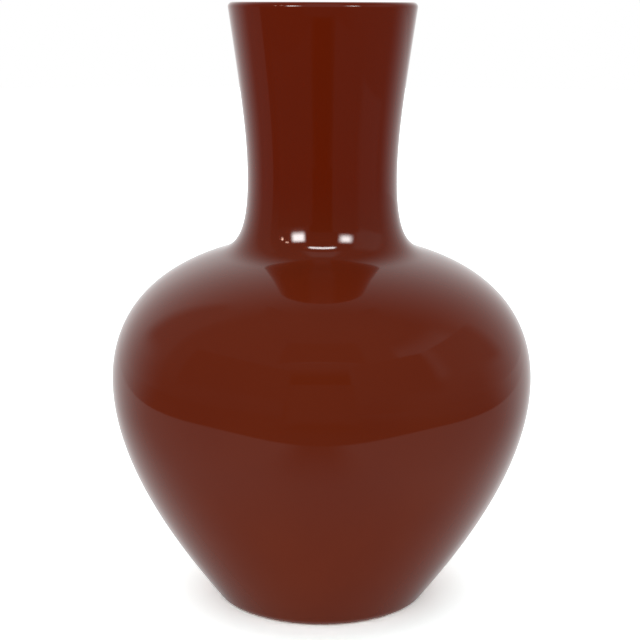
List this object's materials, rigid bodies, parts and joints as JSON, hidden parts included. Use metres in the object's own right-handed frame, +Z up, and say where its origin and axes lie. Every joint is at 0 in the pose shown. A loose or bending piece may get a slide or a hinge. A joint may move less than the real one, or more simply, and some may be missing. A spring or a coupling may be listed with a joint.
{
  "type": "vase",
  "caption": "Round-bellied vase of glazed brown stoneware with a broad shoulder, a tall flared neck, a half-round lip and a turned foot ring to stand on.",
  "frame": {"origin": "centre of the foot ring's standing face, level with the table", "axes": "+Z up along the vase's own axis, towards the mouth; the vase is round, so X and Y point any way"},
  "size_m": [0.2832, 0.2832, 0.4],
  "materials": {
    "clay": "matte",
    "slip": "matte",
    "glaze": "polished"
  },
  "bodies": {
    "root": {"foot_ring": "clay", "foot_lute": "slip", "lower_body": "clay", "belly_lute": "slip", "upper_body": "clay", "neck_lute": "slip", "neck": "clay", "outer_glaze": "glaze", "inner_glaze": "glaze", "base_glaze": "glaze"}
  },
  "joints": []
}
